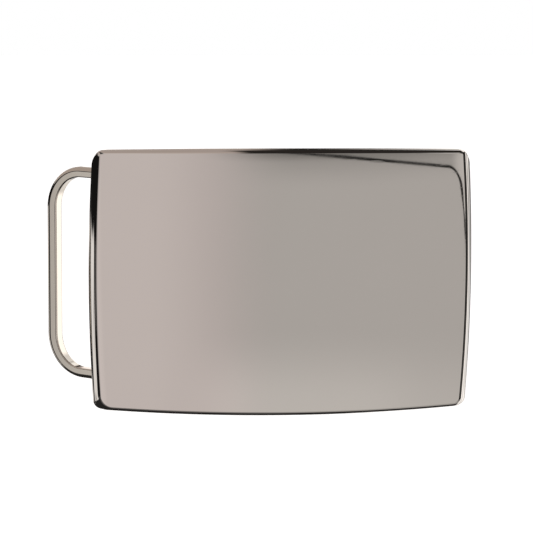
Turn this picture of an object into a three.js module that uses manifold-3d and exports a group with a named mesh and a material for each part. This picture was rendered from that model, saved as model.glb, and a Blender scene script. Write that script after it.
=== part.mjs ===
// Plate belt buckle with a swivel strap loop, in millimetres.
// +X runs along the belt toward the hook end, +Y points back to the wearer and +Z is up.
// The origin is the middle of the back plate's rear face, where the strap lies.
import * as THREE from 'three';
import { mergeVertices } from 'three/addons/utils/BufferGeometryUtils.js';
import Module from 'manifold-3d';

const wasm = await Module();
wasm.setup();

// Plate
const WAIST_RADIUS = 130; // the whole plate follows this arc about a vertical axis
const RIM_HALF_LENGTH = 33.4;
const RIM_HALF_HEIGHT = 23.2;
const RIM_CORNER_TOP = 2.7;
const RIM_CORNER_BOTTOM = 1.3;
const FACE_HALF_LENGTH = 32.25;
const FACE_HALF_HEIGHT = 23.05;
const FACE_CORNER_TOP = 0.5;
const FACE_CORNER_BOTTOM = 1.5;
const END_BOW = 0.75; // how far an end's middle stands out past its corners
const LONG_BOW = 0.6; // the same for the top and bottom edges
const SHELL_DEPTH = 2.8; // rim to face at the middle of the plate
const FACE_CROWN = 1.3; // how far the face falls away from its middle to its top edge
const SHELL_THICKNESS = 0.9;
const EDGE_ROUND = 0.3;
const BACK_THICKNESS = 0.8;
const BACK_INSET = 0.4; // back plate's edge inside the rim's edge
const SEAM = 0.05; // gap between pieces that lie on each other

// Hinge of the loop
const LUG_X = -28;
const ARM_HEIGHT = 17.6; // loop's arms and the lugs, above and below the middle
const PIVOT_LIFT = 3.1; // pin's axis above the back plate
const PIN_RADIUS = 0.8;
const PIN_HOLE_RADIUS = 0.88;
const EYE_RADIUS = 1.75;
const EYE_WIDTH = 2.5;
const CLEVIS_GAP = 2.8;
const CHEEK_THICKNESS = 1.15;
const CHEEK_HALF_BASE = 2.3;
const TONGUE_END = 8.9; // lug's tongue, from the pin's axis toward the middle
const TONGUE_HALF_WIDTH = 1.9;
const LUG_RIVET_OFFSETS = [3.8, 7];

// Loop
const LOOP_REACH = 15.2; // pin's axis to the middle of the bar
const LOOP_BEND = 6.4;
const WIRE_WIDTH = 2.3; // at the bar
const ARM_NARROWING = 0.22; // share of the width that the arms lack, on their inner side
const WIRE_THICKNESS = 2;
const WIRE_ROUND = 0.5;
const LOOP_REST_ANGLE = THREE.MathUtils.degToRad(38); // folded back from the belt's line

// Hook
const HOOK_X = 20;
const HOOK_BASE_HALF_HEIGHT = 6.6;
const HOOK_BASE_HALF_WIDTH = 3.2;
const HOOK_RIVET_HEIGHT = 4.4;
const PEG_RADIUS = 1.35;
const PEG_HOLE_RADIUS = 1.5;
const PEG_COLLAR_RADIUS = 1.95;
const PEG_STRAIGHT = 4.4; // height at which the peg starts to bend
const PEG_BEND_RADIUS = 3.2;
const PEG_BEND_ANGLE = THREE.MathUtils.degToRad(48);

// Sheet metal fittings and rivets
const FITTING_THICKNESS = 1;
const RIVET_RADIUS = 0.7;
const RIVET_HOLE_RADIUS = 0.85;
const RIVET_HEAD_RADIUS = 1.2;
const RIVET_HEAD_HEIGHT = 0.65;
const RIVET_TAIL_RADIUS = 1.15;
const RIVET_TAIL_HEIGHT = 0.4;

// Facets
const LONG_STEPS = 16;
const END_STEPS = 6;
const CORNER_STEPS = 3;
const SHEET_RINGS = [0.14, 0.28, 0.42, 0.56, 0.7, 0.84, 0.94];
const ROUND_SEGMENTS = 20;
const RIVET_SEGMENTS = 14;
const DOME_STEPS = 3;
const BEND_STEPS = 8;
const EDGE_STEPS = 2;

const RIM_Y = -BACK_THICKNESS - SEAM;
const LUG_HALF_WIDTH = CLEVIS_GAP / 2 + CHEEK_THICKNESS;

const nickel = (name) => new THREE.MeshStandardMaterial({ name, color: 0xb9b1aa, roughness: 0.12, metalness: 1 });
const satin = (name) => new THREE.MeshStandardMaterial({ name, color: 0xa9a5a0, roughness: 0.4, metalness: 1 });
const steel = (name) => new THREE.MeshStandardMaterial({ name, color: 0x9a9a9c, roughness: 0.3, metalness: 1 });

// Closed surfaces and booleans

function surface(points, faces) {
  const geometry = new THREE.BufferGeometry();
  geometry.setAttribute('position', new THREE.Float32BufferAttribute(points.flat(), 3));
  geometry.setIndex(faces.flat());
  return geometry;
}

// Six times the signed volume inside a closed surface, positive when its faces point outward.
function windingSum(points, faces) {
  const [a, b, c] = [new THREE.Vector3(), new THREE.Vector3(), new THREE.Vector3()];
  return faces.reduce((sum, [i, j, k]) => {
    a.fromArray(points[i]);
    b.fromArray(points[j]);
    c.fromArray(points[k]);
    return sum + a.dot(b.cross(c));
  }, 0);
}

// Closed surface through matching rings, each end closed by a fan about its ring's centre.
function loft(rings) {
  const count = rings[0].length;
  const points = rings.flat();
  const faces = [];
  for (let r = 0; r + 1 < rings.length; r += 1) {
    for (let i = 0; i < count; i += 1) {
      const a = r * count + i;
      const b = r * count + ((i + 1) % count);
      faces.push([a, b, b + count], [a, b + count, a + count]);
    }
  }
  const last = (rings.length - 1) * count;
  const middle = (ring) => [0, 1, 2].map((k) => ring.reduce((sum, p) => sum + p[k], 0) / count);
  points.push(middle(rings[0]), middle(rings[rings.length - 1]));
  for (let i = 0; i < count; i += 1) {
    const next = (i + 1) % count;
    faces.push([points.length - 2, next, i], [points.length - 1, last + i, last + next]);
  }
  if (windingSum(points, faces) < 0) {
    faces.forEach((face) => face.reverse());
  }
  return surface(points, faces);
}

function solid(geometry) {
  const bare = geometry.clone();
  bare.deleteAttribute('normal');
  bare.deleteAttribute('uv');
  const merged = mergeVertices(bare, 1e-4);
  const vertProperties = new Float32Array(merged.attributes.position.array);
  const triVerts = new Uint32Array(merged.index.array);
  return new wasm.Manifold(new wasm.Mesh({ numProp: 3, vertProperties, triVerts }));
}

function geometryOf(body) {
  const mesh = body.getMesh();
  const geometry = new THREE.BufferGeometry();
  geometry.setAttribute('position', new THREE.BufferAttribute(new Float32Array(mesh.vertProperties), 3));
  geometry.setIndex(new THREE.BufferAttribute(new Uint32Array(mesh.triVerts), 1));
  return geometry;
}

// Round bar along Z, centred on the origin.
function roundZ(radius, length) {
  return new THREE.CylinderGeometry(radius, radius, length, ROUND_SEGMENTS).rotateX(Math.PI / 2);
}

// Round bar along Y, centred on the origin.
function roundY(radius, length) {
  return new THREE.CylinderGeometry(radius, radius, length, ROUND_SEGMENTS);
}

// Foot of a fitting, drawn in X and Z: flat on top, its underside cut to lie on the curved back plate.
function foot(shape) {
  const sunk = 0.5;
  const depth = FITTING_THICKNESS + sunk;
  const slab = new THREE.ExtrudeGeometry(shape, { depth, bevelEnabled: false, curveSegments: 8 });
  slab.rotateX(Math.PI / 2).translate(0, FITTING_THICKNESS, 0);
  const reach = 12;
  const bed = new THREE.Shape();
  bed.moveTo(reach, -reach);
  for (let x = reach; x >= -reach; x -= 1) {
    bed.lineTo(x, waist(x));
  }
  bed.lineTo(-reach, -reach);
  bed.closePath();
  const under = new THREE.ExtrudeGeometry(bed, { depth: 2 * reach, bevelEnabled: false });
  return solid(slab).subtract(solid(under.translate(0, 0, -reach)));
}

// The plate's curve

function waist(x) {
  return WAIST_RADIUS - Math.sqrt(WAIST_RADIUS ** 2 - x ** 2);
}

// Group whose Y axis stands square on the back plate's rear face at x.
function backFrame(x, z) {
  const frame = new THREE.Group();
  frame.position.set(x, waist(x), z);
  frame.rotation.z = Math.asin(x / WAIST_RADIUS);
  frame.updateMatrix();
  return frame;
}

// Rounded rectangle as [x, z] points, anticlockwise with +Z up, starting at the right end.
function roundedRectangle(halfLength, halfHeight, topCorner, bottomCorner) {
  const corners = [
    [1, 1, topCorner, LONG_STEPS],
    [-1, 1, topCorner, END_STEPS],
    [-1, -1, bottomCorner, LONG_STEPS],
    [1, -1, bottomCorner, END_STEPS],
  ];
  const arcs = corners.map(([sideX, sideZ, radius], quarter) => {
    const arc = [];
    for (let i = 0; i <= CORNER_STEPS; i += 1) {
      const angle = (quarter + i / CORNER_STEPS) * (Math.PI / 2);
      const x = sideX * (halfLength - radius) + radius * Math.cos(angle);
      const z = sideZ * (halfHeight - radius) + radius * Math.sin(angle);
      arc.push([x, z]);
    }
    return arc;
  });
  return arcs.flatMap((arc, quarter) => {
    const [fromX, fromZ] = arc[CORNER_STEPS];
    const [toX, toZ] = arcs[(quarter + 1) % 4][0];
    const steps = corners[quarter][3];
    const run = [];
    for (let i = 1; i < steps; i += 1) {
      run.push([fromX + ((toX - fromX) * i) / steps, fromZ + ((toZ - fromZ) * i) / steps]);
    }
    return [...arc, ...run];
  });
}

// Ring of the plate: a rounded rectangle with bowed sides, shrunk to `scale` and laid on height(x, z).
function plateRing(outline, scale, height) {
  return outline.map(([flatX, flatZ]) => {
    const x = scale * flatX * (1 - (END_BOW / RIM_HALF_LENGTH) * ((scale * flatZ) / RIM_HALF_HEIGHT) ** 2);
    const z = scale * flatZ * (1 - (LONG_BOW / RIM_HALF_HEIGHT) * ((scale * flatX) / RIM_HALF_LENGTH) ** 2);
    return [x, waist(x) + height(x, z), z];
  });
}

const faceHeight = (x, z) => RIM_Y - SHELL_DEPTH + FACE_CROWN * (z / FACE_HALF_HEIGHT) ** 2;

function faceShell() {
  const t = SHELL_THICKNESS;
  const face = (inset) =>
    roundedRectangle(
      FACE_HALF_LENGTH - inset,
      FACE_HALF_HEIGHT - inset,
      Math.max(FACE_CORNER_TOP - inset, 0.15),
      FACE_CORNER_BOTTOM - inset,
    );
  const rim = (inset) =>
    roundedRectangle(
      RIM_HALF_LENGTH - inset,
      RIM_HALF_HEIGHT - inset,
      RIM_CORNER_TOP - inset,
      RIM_CORNER_BOTTOM - inset,
    );
  const outside = (drop) => (x, z) => faceHeight(x, z) + drop;
  const inside = (x, z) => faceHeight(x, z) + t;
  const flat = () => RIM_Y;
  const rings = [
    ...SHEET_RINGS.map((scale) => plateRing(face(EDGE_ROUND), scale, outside(0))),
    plateRing(face(EDGE_ROUND), 1, outside(0)),
    plateRing(face(EDGE_ROUND * 0.3), 1, outside(EDGE_ROUND * 0.3)),
    plateRing(face(0), 1, outside(EDGE_ROUND)),
    plateRing(rim(0), 1, flat),
    plateRing(rim(t), 1, flat),
    plateRing(face(t), 1, inside),
    ...[...SHEET_RINGS].reverse().map((scale) => plateRing(face(t), scale, inside)),
  ];
  return loft(rings);
}

function backPlate() {
  const edge = (bevelled) => {
    const inset = BACK_INSET + bevelled;
    return roundedRectangle(
      RIM_HALF_LENGTH - inset,
      RIM_HALF_HEIGHT - inset,
      RIM_CORNER_TOP - inset,
      RIM_CORNER_BOTTOM - inset,
    );
  };
  const bevel = 0.25;
  const front = () => -BACK_THICKNESS;
  const rear = () => 0;
  const rings = [
    ...SHEET_RINGS.map((scale) => plateRing(edge(0), scale, front)),
    plateRing(edge(0), 1, front),
    plateRing(edge(0), 1, () => -bevel),
    plateRing(edge(bevel), 1, rear),
    ...[...SHEET_RINGS].reverse().map((scale) => plateRing(edge(bevel), scale, rear)),
  ];
  let body = solid(loft(rings));
  const drill = (frame, x, z, radius) => {
    const hole = roundY(radius, 4).translate(x, 0, z).applyMatrix4(frame.matrix);
    body = body.subtract(solid(hole));
  };
  for (const side of [1, -1]) {
    const lugFrame = backFrame(LUG_X, side * ARM_HEIGHT);
    LUG_RIVET_OFFSETS.forEach((offset) => drill(lugFrame, offset, 0, RIVET_HOLE_RADIUS));
    drill(backFrame(HOOK_X, 0), 0, side * HOOK_RIVET_HEIGHT, RIVET_HOLE_RADIUS);
  }
  drill(backFrame(HOOK_X, 0), 0, 0, PEG_HOLE_RADIUS);
  return geometryOf(body);
}

// Lug, with its foot on Y = 0 and the pin's axis on Z at X = 0.
function lug() {
  const outline = new THREE.Shape();
  outline.moveTo(-CHEEK_HALF_BASE, -LUG_HALF_WIDTH);
  outline.lineTo(CHEEK_HALF_BASE, -LUG_HALF_WIDTH);
  outline.lineTo(CHEEK_HALF_BASE + 0.7, -TONGUE_HALF_WIDTH);
  outline.lineTo(TONGUE_END - TONGUE_HALF_WIDTH, -TONGUE_HALF_WIDTH);
  outline.absarc(TONGUE_END - TONGUE_HALF_WIDTH, 0, TONGUE_HALF_WIDTH, -Math.PI / 2, Math.PI / 2);
  outline.lineTo(CHEEK_HALF_BASE + 0.7, TONGUE_HALF_WIDTH);
  outline.lineTo(CHEEK_HALF_BASE, LUG_HALF_WIDTH);
  outline.lineTo(-CHEEK_HALF_BASE, LUG_HALF_WIDTH);
  outline.closePath();

  const cheek = new THREE.Shape();
  const lean = Math.asin(EYE_RADIUS / Math.hypot(CHEEK_HALF_BASE, PIVOT_LIFT));
  const side = Math.atan2(PIVOT_LIFT, CHEEK_HALF_BASE) - lean;
  const root = FITTING_THICKNESS / 2;
  cheek.moveTo(-CHEEK_HALF_BASE, root);
  cheek.lineTo(CHEEK_HALF_BASE, root);
  cheek.absarc(0, PIVOT_LIFT, EYE_RADIUS, Math.PI / 2 - lean - side, Math.PI / 2 + lean + side);
  cheek.closePath();
  const cheekGeometry = () =>
    new THREE.ExtrudeGeometry(cheek, { depth: CHEEK_THICKNESS, bevelEnabled: false, curveSegments: 12 });

  let body = foot(outline);
  body = body.add(solid(cheekGeometry().translate(0, 0, CLEVIS_GAP / 2)));
  body = body.add(solid(cheekGeometry().translate(0, 0, -CLEVIS_GAP / 2 - CHEEK_THICKNESS)));
  body = body.subtract(solid(roundZ(PIN_HOLE_RADIUS, 4 * LUG_HALF_WIDTH).translate(0, PIVOT_LIFT, 0)));
  for (const offset of LUG_RIVET_OFFSETS) {
    body = body.subtract(solid(roundY(RIVET_HOLE_RADIUS, 4).translate(offset, 0, 0)));
  }
  return geometryOf(body);
}

// Solid turned about Y from [radius, height] points.
function turned(profile, segments) {
  return new THREE.LatheGeometry(
    profile.map(([radius, height]) => new THREE.Vector2(radius, height)),
    segments,
  );
}

// Headed pin along Z through both cheeks, head at the +Z end.
function pin() {
  const end = LUG_HALF_WIDTH + SEAM;
  return turned([
    [0, -end - 0.35],
    [0.75, -end - 0.3],
    [1.05, -end - 0.1],
    [1.05, -end],
    [PIN_RADIUS, -end],
    [PIN_RADIUS, end],
    [1.35, end],
    [1.35, end + 0.25],
    [1.05, end + 0.5],
    [0, end + 0.6],
  ], ROUND_SEGMENTS).rotateX(Math.PI / 2);
}

// Rivet along Y through a fitting and the back plate, domed head outside.
function rivet() {
  const top = FITTING_THICKNESS + 2 * SEAM;
  const bottom = -BACK_THICKNESS - SEAM;
  const shoulder = 0.1;
  const dome = [];
  for (let i = 0; i < DOME_STEPS; i += 1) {
    const angle = (i / DOME_STEPS) * (Math.PI / 2);
    const rise = (RIVET_HEAD_HEIGHT - shoulder) * Math.sin(angle);
    dome.push([RIVET_HEAD_RADIUS * Math.cos(angle), top + shoulder + rise]);
  }
  return turned([
    [0, bottom - RIVET_TAIL_HEIGHT],
    [RIVET_TAIL_RADIUS - 0.2, bottom - RIVET_TAIL_HEIGHT],
    [RIVET_TAIL_RADIUS, bottom - 0.2],
    [RIVET_TAIL_RADIUS, bottom],
    [RIVET_RADIUS, bottom],
    [RIVET_RADIUS, top],
    [RIVET_HEAD_RADIUS, top],
    ...dome,
    [0, top + RIVET_HEAD_HEIGHT],
  ], RIVET_SEGMENTS);
}

function hookBase() {
  const shape = new THREE.Shape();
  const straight = HOOK_BASE_HALF_HEIGHT - HOOK_BASE_HALF_WIDTH;
  shape.moveTo(HOOK_BASE_HALF_WIDTH, -straight);
  shape.lineTo(HOOK_BASE_HALF_WIDTH, straight);
  shape.absarc(0, straight, HOOK_BASE_HALF_WIDTH, 0, Math.PI);
  shape.lineTo(-HOOK_BASE_HALF_WIDTH, -straight);
  shape.absarc(0, -straight, HOOK_BASE_HALF_WIDTH, Math.PI, 2 * Math.PI);
  let body = foot(shape);
  body = body.subtract(solid(roundY(PEG_HOLE_RADIUS, 4)));
  for (const side of [1, -1]) {
    body = body.subtract(solid(roundY(RIVET_HOLE_RADIUS, 4).translate(0, 0, side * HOOK_RIVET_HEIGHT)));
  }
  return geometryOf(body);
}

// Hook: riveted tail, shank, collar, then a peg that bends toward the loop, with a rounded tip.
function hookPeg() {
  const bottom = -BACK_THICKNESS - SEAM;
  const collar = FITTING_THICKNESS + 2 * SEAM;
  const stations = [
    [bottom - 0.5, 0, 1.75],
    [bottom - 0.3, 0, 1.95],
    [bottom, 0, 1.95],
    [bottom, 0, PEG_RADIUS],
    [collar, 0, PEG_RADIUS],
    [collar, 0, PEG_COLLAR_RADIUS],
    [collar + 0.45, 0, PEG_COLLAR_RADIUS],
    [collar + 0.65, 0, PEG_COLLAR_RADIUS - 0.2],
    [collar + 0.65, 0, PEG_RADIUS],
    [PEG_STRAIGHT, 0, PEG_RADIUS],
  ];
  for (let i = 1; i <= BEND_STEPS; i += 1) {
    stations.push([PEG_STRAIGHT, (PEG_BEND_ANGLE * i) / BEND_STEPS, PEG_RADIUS]);
  }
  const tip = [0.35, 0.7, 0.92, 0.99].map((sine) => [sine * PEG_RADIUS, Math.sqrt(1 - sine ** 2) * PEG_RADIUS]);
  const rings = stations.map(([height, angle, radius]) => pegRing(height, angle, 0, radius));
  tip.forEach(([past, radius]) => rings.push(pegRing(PEG_STRAIGHT, PEG_BEND_ANGLE, past, radius)));
  return loft(rings);
}

// Circle of the peg at `height`, then `angle` round the bend, then `past` straight on.
function pegRing(height, angle, past, radius) {
  const x = -PEG_BEND_RADIUS * (1 - Math.cos(angle)) - past * Math.sin(angle);
  const y = height + PEG_BEND_RADIUS * Math.sin(angle) + past * Math.cos(angle);
  return Array.from({ length: ROUND_SEGMENTS }, (_, i) => {
    const turn = (-2 * Math.PI * i) / ROUND_SEGMENTS;
    const across = radius * Math.cos(turn);
    return [x + across * Math.cos(angle), y + across * Math.sin(angle), radius * Math.sin(turn)];
  });
}

// Loop with its pin axis on Z and its bar toward -X.
function swivelLoop() {
  const section = roundedSection(WIRE_WIDTH / 2, WIRE_THICKNESS / 2, WIRE_ROUND);
  const armEnd = LOOP_REACH - LOOP_BEND;
  const bendHeight = ARM_HEIGHT - LOOP_BEND;
  const path = [[0, ARM_HEIGHT, 0]];
  for (let i = 0; i <= BEND_STEPS; i += 1) {
    const angle = ((i / BEND_STEPS) * Math.PI) / 2;
    path.push([armEnd + LOOP_BEND * Math.sin(angle), bendHeight + LOOP_BEND * Math.cos(angle), angle]);
  }
  const lower = path.map(([reach, height, angle]) => [reach, -height, Math.PI - angle]).reverse();
  const rings = [...path, ...lower].map(([reach, height, angle]) => {
    const narrowing = ARM_NARROWING * Math.cos(angle) ** 2;
    return section.map(([full, through]) => {
      const across = full + (WIRE_WIDTH / 2 - full) * narrowing;
      return [-reach - across * Math.sin(angle), through, height + across * Math.cos(angle)];
    });
  });
  let body = solid(loft(rings));
  for (const side of [1, -1]) {
    body = body.add(solid(roundZ(EYE_RADIUS, EYE_WIDTH).translate(0, 0, side * ARM_HEIGHT)));
  }
  body = body.subtract(solid(roundZ(PIN_HOLE_RADIUS, 3 * ARM_HEIGHT)));
  return geometryOf(body);
}

// Rectangle with rounded edges, as [across, through] points.
function roundedSection(halfAcross, halfThrough, radius) {
  const points = [];
  [[1, 1], [-1, 1], [-1, -1], [1, -1]].forEach(([sideA, sideT], quarter) => {
    for (let i = 0; i <= EDGE_STEPS; i += 1) {
      const angle = (quarter + i / EDGE_STEPS) * (Math.PI / 2);
      const across = sideA * (halfAcross - radius) + radius * Math.cos(angle);
      const through = sideT * (halfThrough - radius) + radius * Math.sin(angle);
      points.push([across, through]);
    }
  });
  return points;
}

// Assembly

const buckle = new THREE.Group();

function place(parent, name, geometry, material, height = 0) {
  const mesh = new THREE.Mesh(geometry, material(name));
  mesh.name = name;
  mesh.position.y = height;
  parent.add(mesh);
  return mesh;
}

place(buckle, 'face_shell', faceShell(), nickel);
place(buckle, 'back_plate', backPlate(), satin);

const pivot = new THREE.Vector3(0, PIVOT_LIFT + SEAM, 0).applyMatrix4(backFrame(LUG_X, 0).matrix);
let rivetNumber = 0;
for (const [name, side] of [['upper', 1], ['lower', -1]]) {
  const frame = backFrame(LUG_X, side * ARM_HEIGHT);
  buckle.add(frame);
  place(frame, `lug_${name}`, lug(), satin, SEAM);
  const hingePin = place(frame, `pin_${name}`, pin(), steel, PIVOT_LIFT + SEAM);
  hingePin.rotation.x = side > 0 ? 0 : Math.PI;
  for (const offset of LUG_RIVET_OFFSETS) {
    rivetNumber += 1;
    place(frame, `lug_rivet_${rivetNumber}`, rivet(), steel).position.x = offset;
  }
}

const loopFrame = new THREE.Group();
loopFrame.position.copy(pivot);
loopFrame.rotation.z = -LOOP_REST_ANGLE;
buckle.add(loopFrame);
place(loopFrame, 'swivel_loop', swivelLoop(), nickel);

const hookFrame = backFrame(HOOK_X, 0);
buckle.add(hookFrame);
place(hookFrame, 'hook_base', hookBase(), satin, SEAM);
place(hookFrame, 'hook_peg', hookPeg(), steel);
[1, -1].forEach((side, index) => {
  place(hookFrame, `hook_rivet_${index + 1}`, rivet(), steel).position.z = side * HOOK_RIVET_HEIGHT;
});

export default buckle;
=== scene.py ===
# Looks of the plate belt buckle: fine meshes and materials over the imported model, floor, light and camera.
import math

import bmesh
import bpy
from mathutils import Matrix, Vector


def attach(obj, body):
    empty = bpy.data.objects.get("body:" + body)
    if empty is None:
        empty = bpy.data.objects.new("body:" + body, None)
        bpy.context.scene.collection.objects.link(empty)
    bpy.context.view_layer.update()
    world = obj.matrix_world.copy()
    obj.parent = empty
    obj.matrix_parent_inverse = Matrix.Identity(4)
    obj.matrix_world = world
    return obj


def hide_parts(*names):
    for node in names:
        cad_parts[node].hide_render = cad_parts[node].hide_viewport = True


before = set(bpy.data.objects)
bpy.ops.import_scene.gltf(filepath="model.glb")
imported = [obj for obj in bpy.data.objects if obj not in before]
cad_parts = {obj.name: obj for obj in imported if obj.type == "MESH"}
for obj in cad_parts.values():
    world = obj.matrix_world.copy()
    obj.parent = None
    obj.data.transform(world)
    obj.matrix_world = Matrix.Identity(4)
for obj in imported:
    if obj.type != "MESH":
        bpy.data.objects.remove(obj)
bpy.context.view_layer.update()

MM = 0.001

# Plate, in millimetres, as in the CAD model
WAIST_RADIUS = 130.0
RIM_HALF_LENGTH = 33.4
RIM_HALF_HEIGHT = 23.2
RIM_CORNER_TOP = 2.7
RIM_CORNER_BOTTOM = 1.3
FACE_HALF_LENGTH = 32.25
FACE_HALF_HEIGHT = 23.05
FACE_CORNER_TOP = 0.5
FACE_CORNER_BOTTOM = 1.5
FACE_CORNER_LOOP_END = 2.4  # bottom corner at the loop's end, rounder than the CAD model's
FACE_CORNER_LEAST = 0.12
END_BOW = 0.75
LONG_BOW = 0.6
SHELL_DEPTH = 2.8
FACE_CROWN = 1.3
SHELL_THICKNESS = 0.9
BACK_THICKNESS = 0.8
BACK_INSET = 0.4
SEAM = 0.05
RIM_Y = -BACK_THICKNESS - SEAM

# Fine shape of the plate, which the CAD model leaves out
FACE_FILLET = 0.58  # rounding between the face and the walls
FACE_EDGE_OUT = 0.25  # sharp edge moved out by this, so that the rounded one looks as long as the CAD face
FACE_EDGE_DROP = 0.3  # outline of the sharp edge, behind the face
WALL_SWELL = 0.075
SWELL_END = 0.88  # share of a wall's depth that swells
RIM_BEVEL = 0.26
BACK_BEVEL = 0.3
BACK_FRONT_BEVEL = 0.12

# Hinge and loop
LUG_X = -28.0
ARM_HEIGHT = 17.6
PIVOT_LIFT = 3.1
PIN_RADIUS = 0.8
PIN_HOLE_RADIUS = 0.88
PIN_HEAD_RADIUS = 1.35
PIN_HEAD_HEIGHT = 0.6
PIN_TAIL_RADIUS = 1.05
PIN_TAIL_HEIGHT = 0.35
EYE_RADIUS = 1.75
EYE_WIDTH = 2.5
CLEVIS_GAP = 2.8
CHEEK_THICKNESS = 1.15
LUG_HALF_WIDTH = CLEVIS_GAP / 2 + CHEEK_THICKNESS
CHEEK_HALF_BASE = 2.3
CHEEK_SHOULDER = 0.7  # from the cheeks to the tongue
TONGUE_END = 8.9
TONGUE_HALF_WIDTH = 1.9
LUG_RIVET_OFFSETS = (3.8, 7.0)
LOOP_REACH = 15.2
LOOP_BEND = 6.4
ARM_START = 1.2  # the arms begin inside the eyes, this far from the pins' axis
WIRE_WIDTH = 2.3  # at the bar
ARM_NARROWING = 0.22  # share of the width that the arms lack, on their inner side
WIRE_THICKNESS = 2.0
WIRE_ROUND = 0.5
WIRE_FRONT_INNER_ROUND = 0.24
WIRE_FRONT_OUTER_ROUND = 0.95
LOOP_REST_ANGLE = math.radians(38)

# Hook and rivets
HOOK_X = 20.0
HOOK_BASE_HALF_HEIGHT = 6.6
HOOK_BASE_HALF_WIDTH = 3.2
HOOK_RIVET_HEIGHT = 4.4
PEG_RADIUS = 1.35
PEG_COLLAR_RADIUS = 1.95
PEG_COLLAR_HEIGHT = 0.65
PEG_TAIL_HEIGHT = 0.5
PEG_HOLE_RADIUS = 1.5
PEG_STRAIGHT = 4.4
PEG_BEND_RADIUS = 3.2
PEG_BEND_ANGLE = math.radians(48)
FITTING_THICKNESS = 1.0
RIVET_RADIUS = 0.7
RIVET_HOLE_RADIUS = 0.85
RIVET_HEAD_RADIUS = 1.2
RIVET_HEAD_HEIGHT = 0.65
RIVET_HEAD_BRIM = 0.12  # upright part of the head, below its dome
RIVET_TAIL_RADIUS = 1.15
RIVET_TAIL_HEIGHT = 0.4
LUG_EDGE = 0.16
HOOK_BASE_EDGE = 0.2

# Camera and floor
CAMERA_AZIMUTH = math.radians(-5.03)
CAMERA_ELEVATION = math.radians(8.98)
CAMERA_ROLL = math.radians(0.34)
CAMERA_DISTANCE = 414.0
CAMERA_LENS = 162.2
AIM_ACROSS = -2.81  # the camera aims this far beside and above the origin
AIM_UP = 2.58
FLOOR_Z = -120.0
FLOOR_HALF = 2500.0

# Fineness of the meshes
LONG_STEPS = 90
END_STEPS = 64
CORNER_STEPS = 8
SOFTEN_STEPS = 5
ROUND_SEGMENTS = 48
RIVET_SEGMENTS = 40
EYE_SEGMENTS = 64
DOME_STEPS = 12
PEG_BEND_STEPS = 24
PEG_TIP_STEPS = 13
BEND_STEPS = 32
STRAIGHT_STEPS = 12
DRILL_LENGTH = 4.0
BACK_DRILL_LENGTH = 3.0
SUPPORT = 0.05  # loops this close to a rounding keep the flat beside it flat


# ---------------------------------------------------------------- meshes

def waist(x):
    return WAIST_RADIUS - math.sqrt(WAIST_RADIUS ** 2 - x * x)


def back_frame(x, z, lift=0.0):
    """Frame whose Y axis stands square on the back plate's rear face at x."""
    turn = Matrix.Rotation(math.asin(x / WAIST_RADIUS), 4, "Z")
    return Matrix.Translation((x, waist(x), z)) @ turn @ Matrix.Translation((0, lift, 0))


def raw_object(name, points, faces, matrix=None):
    """Mesh object from points in millimetres, its faces turned outward and shaded smooth."""
    matrix = matrix or Matrix.Identity(4)
    mesh = bpy.data.meshes.new(name)
    mesh.from_pydata([matrix @ Vector(p) * MM for p in points], [], faces)
    work = bmesh.new()
    work.from_mesh(mesh)
    bmesh.ops.remove_doubles(work, verts=work.verts, dist=1e-8)
    bmesh.ops.recalc_face_normals(work, faces=work.faces)
    work.to_mesh(mesh)
    work.free()
    mesh.shade_smooth()
    made = bpy.data.objects.new(name, mesh)
    bpy.context.scene.collection.objects.link(made)
    return made


def ring_faces(count, rings, closed=False):
    """Quads between successive rings of points; closed joins the last ring to the first."""
    faces = []
    for r in range(rings if closed else rings - 1):
        a = r * count
        b = ((r + 1) % rings) * count
        for i in range(count):
            j = (i + 1) % count
            faces.append((a + i, a + j, b + j, b + i))
    return faces


def loft(rings):
    """Points and faces of a tube through matching rings; each end closes in a fan."""
    count = len(rings[0])
    points = [tuple(p) for ring in rings for p in ring]
    faces = ring_faces(count, len(rings))
    for ring, base in ((rings[0], 0), (rings[-1], (len(rings) - 1) * count)):
        points.append(tuple(sum(p[k] for p in ring) / count for k in range(3)))
        faces += [(len(points) - 1, base + i, base + (i + 1) % count) for i in range(count)]
    return points, faces


def soften(corners):
    """Polyline through corners (a, b, size): one with a size is rounded, with support points beside it."""
    line = []
    last = len(corners) - 1
    for i, (a, b, size) in enumerate(corners):
        here = Vector((a, b))
        if size <= 0 or i in (0, last):
            line.append(here)
            continue
        back = Vector(corners[i - 1][:2]) - here
        on = Vector(corners[i + 1][:2]) - here
        reach_back = min(size, back.length * 0.48)
        reach_on = min(size, on.length * 0.48)
        start = here + back.normalized() * reach_back
        end = here + on.normalized() * reach_on
        near = min(SUPPORT, size * 0.3)
        if back.length > reach_back * 2.2:
            line.append(start + back.normalized() * near)
        for k in range(SOFTEN_STEPS + 1):
            t = k / SOFTEN_STEPS
            line.append(start * (1 - t) ** 2 + here * 2 * t * (1 - t) + end * t ** 2)
        if on.length > reach_on * 2.2:
            line.append(end + on.normalized() * near)
    return line


def circle(radius, height, segments):
    turns = [2 * math.pi * i / segments for i in range(segments)]
    return [(radius * math.cos(turn), height, radius * math.sin(turn)) for turn in turns]


def turned(profile, segments=ROUND_SEGMENTS):
    """Points and faces turned about Y from (radius, height) points that start and end on the axis."""
    rings = [circle(radius, height, segments) for radius, height in profile[1:-1]]
    points = [p for ring in rings for p in ring]
    faces = ring_faces(segments, len(rings))
    for (_, height), base in ((profile[0], 0), (profile[-1], (len(rings) - 1) * segments)):
        points.append((0.0, height, 0.0))
        faces += [(len(points) - 1, base + i, base + (i + 1) % segments) for i in range(segments)]
    return points, faces


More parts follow.
